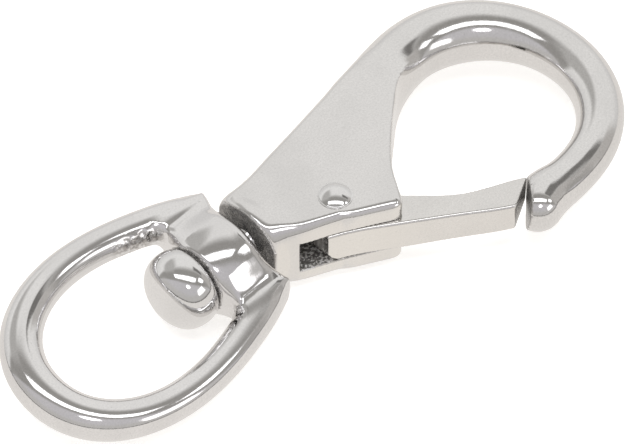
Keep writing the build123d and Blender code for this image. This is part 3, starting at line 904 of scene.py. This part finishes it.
def make_floor():
    """Pale floor; rays other than the camera's see it as a plain, warmer glow."""
    mesh = bpy.data.meshes.new("floor")
    corners = [(-1, -1), (1, -1), (1, 1), (-1, 1)]
    mesh.from_pydata([(x * FLOOR_HALF, y * FLOOR_HALF, FLOOR_Z) for x, y in corners],
                     [], [(0, 1, 2, 3)])
    floor = link_object("floor", mesh)
    material = bpy.data.materials.new("pale_floor")
    graph = Graph(material, "ShaderNodeOutputMaterial")
    mottle = graph.noise(graph.coords("Object"), scale=40.0)
    paint = graph.mix(mottle, (0.87, 0.865, 0.855), (0.85, 0.845, 0.835))
    diffuse = graph.join("ShaderNodeBsdfDiffuse", paint)
    # emission: colour, strength
    glow = graph.join("ShaderNodeEmission", (1.0, 0.99, 0.97), 0.50)
    direct = graph.join("ShaderNodeAddShader", diffuse, glow)
    reflected = graph.join("ShaderNodeEmission", (0.905, 0.872, 0.838), 0.94)
    is_camera = graph.node("ShaderNodeLightPath").outputs["Is Camera Ray"]
    shader = graph.join("ShaderNodeMixShader", is_camera, reflected, direct)
    graph.put(graph.out.inputs[0], shader)
    mesh.materials.append(material)


def make_world():
    """Soft studio, painted in layers by direction; each layer is a mask and a colour."""
    world = bpy.data.worlds.new("studio")
    bpy.context.scene.world = world
    graph = Graph(world, "ShaderNodeOutputWorld")
    mix, mul, ramp, between = graph.mix, graph.mul, graph.ramp, graph.between
    way = graph.coords("Generated")
    up = graph.dot(way, (0, 0, 1))
    near = graph.dot(way, (-0.7071, -0.7071, 0))      # towards the camera side
    right = graph.dot(way, (0.7071, -0.7071, 0))      # to the camera's right
    # where the direction meets a ceiling at height 1
    lift = graph.math("MAXIMUM", up, 0.02)
    ceil_near = graph.math("DIVIDE", near, lift)
    ceil_right = graph.math("DIVIDE", right, lift)

    # ceiling: darker near half, pale grey far half
    sky = mix(ramp(ceil_near, (-0.10, -0.50)), (0.34, 0.33, 0.315), (0.855, 0.845, 0.83))
    # low far surroundings
    mask = mul(ramp(up, (0.42, 0.10)), ramp(near, (0.1, -0.3)))
    sky = mix(mask, sky, (0.74, 0.73, 0.72))
    # greyer walls, far left and far right
    mask = mul(ramp(right, (-0.18, -0.42)), between(up, (0.46, 0.60), (0.93, 0.84)))
    sky = mix(mul(mask, ramp(near, (0.1, -0.2))), sky, (0.50, 0.49, 0.475))
    mask = mul(ramp(up, (0.66, 0.50)), ramp(near, (0.15, -0.15)))
    mask = mul(ramp(right, (0.45, 0.70)), mask)
    sky = mix(mul(mask, ramp(near, (-0.52, -0.36))), sky, (0.52, 0.50, 0.48))
    # dark card on the ceiling, far right
    mask = mul(between(ceil_near, (-0.66, -0.52), (-0.24, -0.36)),
               between(ceil_right, (0.46, 0.60), (1.5, 1.2)))
    sky = mix(mask, sky, (0.20, 0.193, 0.185))
    # ceiling well to the camera side: dim, faintly violet
    sky = mix(ramp(ceil_near, (0.50, 0.75)), sky, (0.60, 0.585, 0.60))
    # low surroundings on the camera side
    mask = mul(ramp(up, (0.50, 0.20)), ramp(near, (0.0, 0.3)))
    sky = mix(mask, sky, (0.56, 0.545, 0.53))
    # two bright rectangles on the ceiling
    wide = mul(between(ceil_near, (0.10, 0.20), (0.45, 0.35)),
               between(ceil_right, (-0.67, -0.57), (0.79, 0.69)))
    small = mul(between(ceil_near, (-0.04, 0.08), (0.34, 0.22)),
                between(ceil_right, (0.94, 1.06), (1.66, 1.54)))
    sky = mix(graph.math("MAXIMUM", wide, small), sky, (2.6, 2.6, 2.65))
    # round lamp on the ceiling, camera side
    squares = [graph.math("POWER", graph.math("SUBTRACT", place, centre), 2.0)
               for place, centre in ((ceil_near, 0.92), (ceil_right, 0.22))]
    from_lamp = graph.math("POWER", graph.add(*squares), 0.5)
    sky = mix(ramp(from_lamp, (0.20, 0.13)), sky, (4.0, 3.95, 4.1))
    # softbox standing low on the right
    mask = mul(ramp(right, (0.62, 0.68)), between(up, (0.24, 0.29), (0.53, 0.48)))
    mask = mul(mask, between(near, (0.26, 0.32), (0.70, 0.64)))
    sky = mix(mask, sky, (1.9, 1.87, 1.88))
    # dark line at the horizon, fainter on the far side
    mask = mul(ramp(up, (0.085, 0.0)), ramp(near, (-0.45, -0.05), to=(0.15, 1.0)))
    sky = mix(mask, sky, (0.06, 0.055, 0.052))
    # below the horizon
    sky = mix(ramp(up, (0.0, -0.03)), sky, (0.8, 0.79, 0.77))
    graph.put(graph.out.inputs[0], graph.join("ShaderNodeBackground", sky))


def make_light():
    """Square overhead light, unseen in reflections."""
    light = bpy.data.lights.new("overhead", "AREA")
    light.shape = "SQUARE"
    light.size = 0.9
    light.energy = 5.0
    ob = link_object("overhead", light)
    ob.location = (0.05, 0.05, 0.9)
    aim = Vector((0.03, 0, 0)) - Vector((0.05, 0.05, 0.9))
    ob.rotation_euler = aim.to_track_quat("-Z", "Y").to_euler()
    ob.visible_glossy = False


def make_camera():
    """Long lens looking down from the -x, -y side."""
    target = Vector((0.030, -0.00373, 0.0))
    distance = 0.5
    rise, swing = math.radians(48.0), math.radians(-45.0)
    camera = bpy.data.cameras.new("camera")
    camera.sensor_width = 36.0
    camera.sensor_fit = "HORIZONTAL"
    camera.lens = 216.0
    camera.clip_start = 0.01
    camera.clip_end = 20
    ob = link_object("camera", camera)
    back = Vector((math.sin(swing) * math.cos(rise), -math.cos(swing) * math.cos(rise),
                   math.sin(rise)))
    ob.location = target + back * distance
    ob.rotation_euler = (-back).to_track_quat("-Z", "Y").to_euler()
    bpy.context.scene.camera = ob


# ============================================================================
# Build
# ============================================================================
hook = make_hook()
gate = make_gate()
eye = make_eye()
swivel_rivet = make_swivel_rivet()
gate_rivet = make_gate_rivet()
spring = make_spring()

BRIGHT = (0.86, 0.855, 0.85)
hook_steel = steel("hook_polished", (0.845, 0.835, 0.825), rough=0.075,
                   lines=((0, 0, 0.6), (60, 2600, 2600), 0.5))
gate_steel = steel("gate_linished", (0.85, 0.835, 0.815), rough=0.085,
                   lines=((0, 0, 0.586), (5200, 700, 900), 1.1))
eye_steel = steel("eye_polished", (0.86, 0.85, 0.845), rough=0.055, haze=0.8)
rivet_steel = steel("rivet_polished", BRIGHT, rough=0.06, haze=0.8, marked=False)
swivel_steel = steel("swivel_polished", BRIGHT, rough=0.045, haze=0.7, marked=False)
spring_steel = steel("spring_drawn_wire", (0.55, 0.55, 0.56), rough=0.22,
                     lines=((0, 0, 0), (3000, 3000, 200), 0.6), marked=False)

# object, material, body it rides on, CAD node it replaces, slot name
for ob, material, body, node, slot in (
    (hook, hook_steel, "hook", "hook_body", "hook_metal"),
    (gate, gate_steel, "gate_arm", "gate", "gate_metal"),
    (gate_rivet, rivet_steel, "hook", "gate_rivet", "rivet_metal"),
    (spring, spring_steel, "hook", "gate_spring", "spring_wire"),
    (eye, eye_steel, "eye", "swivel_eye", "eye_metal"),
    (swivel_rivet, swivel_steel, "hook", "swivel_rivet", "swivel_metal"),
):
    ob.data.materials.append(material)
    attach(ob, body)
    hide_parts(node)

make_floor()
make_world()
make_light()
make_camera()
bpy.context.scene.view_settings.view_transform = "Standard"
bpy.context.scene.view_settings.look = "None"
